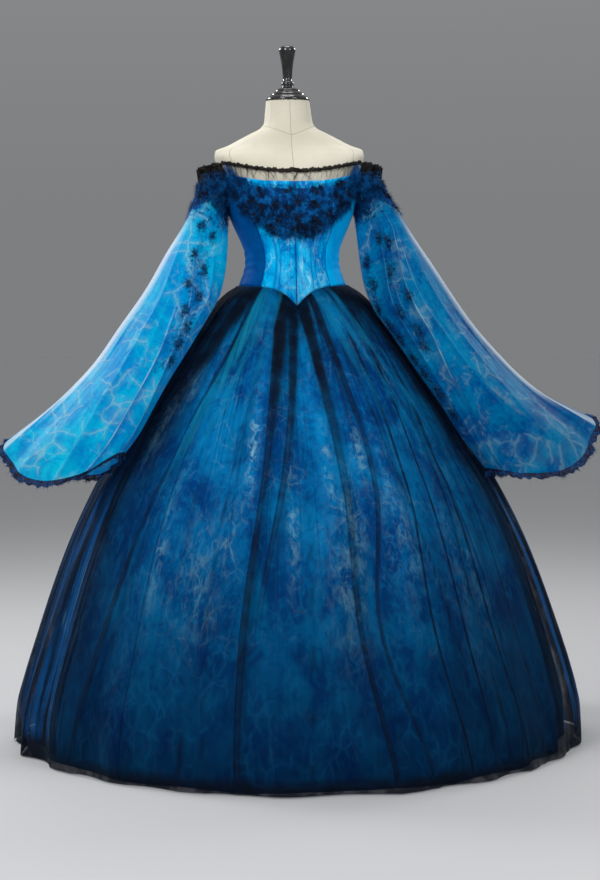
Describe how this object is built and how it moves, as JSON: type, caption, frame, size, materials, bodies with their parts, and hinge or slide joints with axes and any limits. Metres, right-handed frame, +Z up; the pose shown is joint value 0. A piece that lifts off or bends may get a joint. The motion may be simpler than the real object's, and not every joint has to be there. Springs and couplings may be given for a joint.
{
  "type": "off-shoulder ball gown on a limbless dress form",
  "caption": "Off-the-shoulder ball gown with a pointed basque, bell sleeves and a net overskirt, on a dress form with a round stand.",
  "frame": {"origin": "middle of the stand's underside, on the floor", "axes": "+Z up, the front of the gown faces -Y, +X is to the right seen from the front"},
  "size_m": [1.4616, 1.4522, 1.6875],
  "materials": {
    "linen": "cream linen cover, matt",
    "black_lacquer": "turned wood, black gloss lacquer",
    "stand_enamel": "black enamel, satin",
    "print_satin": "azure satin printed with pale water veins",
    "black_net": "sheer black net, gathered",
    "chiffon": "translucent azure chiffon with pale water veins",
    "dark_lace": "dark blue and black lace on net"
  },
  "bodies": {
    "root": {"bertha": "dark_lace", "bodice_back_left": "print_satin", "bodice_back_right": "print_satin", "bodice_front_left": "print_satin", "bodice_front_right": "print_satin", "bodice_side_back_left": "print_satin", "bodice_side_back_right": "print_satin", "bodice_side_front_left": "print_satin", "bodice_side_front_right": "print_satin", "form_base": "stand_enamel", "form_neck_cap": "black_lacquer", "form_pole": "stand_enamel", "form_torso": "linen", "neck_edging": "dark_lace", "neck_net_back": "black_net", "neck_net_front": "black_net", "overskirt_back": "black_net", "overskirt_front": "black_net", "shoulder_ruffle_left": "black_net", "shoulder_ruffle_right": "black_net", "sleeve_head_band_left": "dark_lace", "sleeve_head_band_right": "dark_lace", "sleeve_hem_ruffle_left": "dark_lace", "sleeve_hem_ruffle_right": "dark_lace", "sleeve_left": "chiffon", "sleeve_right": "chiffon", "underskirt_back": "print_satin", "underskirt_front": "print_satin", "underskirt_left": "print_satin", "underskirt_right": "print_satin"}
  },
  "joints": []
}
